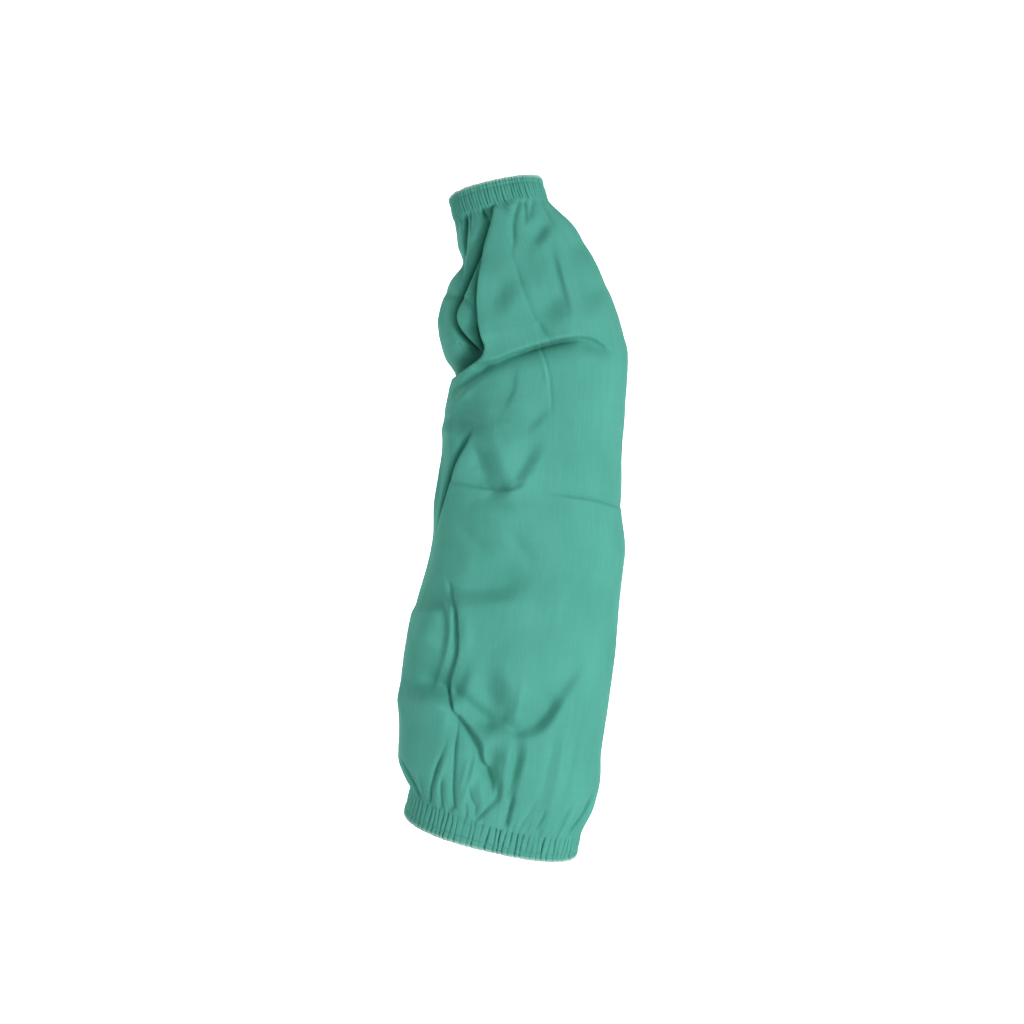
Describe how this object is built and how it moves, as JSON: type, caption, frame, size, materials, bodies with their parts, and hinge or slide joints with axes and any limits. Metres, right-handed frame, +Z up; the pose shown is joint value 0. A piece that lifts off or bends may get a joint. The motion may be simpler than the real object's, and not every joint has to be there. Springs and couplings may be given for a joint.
{
  "type": "flame-resistant sleeve",
  "caption": "Loose cloth tube worn over a bent arm from wrist to upper arm, creased inside the elbow, gathered at both ends into elastic cuffs and open right through.",
  "frame": {"origin": "middle of the opening that the upper arm goes into, in the plane of the lower rim", "axes": "+Z up the raised arm towards the wrist, +X towards the outside of the elbow, -Y towards the viewer"},
  "size_m": [0.1911, 0.144, 0.5626],
  "materials": {
    "sleeve_cloth": "sea-green cotton sateen with a fine dull weave, pressed creases and soft folds",
    "cuff_cloth": "the same sea-green cotton gathered into close ribs over elastic, with a pale frayed rim"
  },
  "bodies": {
    "root": {"sleeve_tube": "sleeve_cloth", "upper_arm_cuff": "cuff_cloth", "wrist_cuff": "cuff_cloth"}
  },
  "joints": []
}
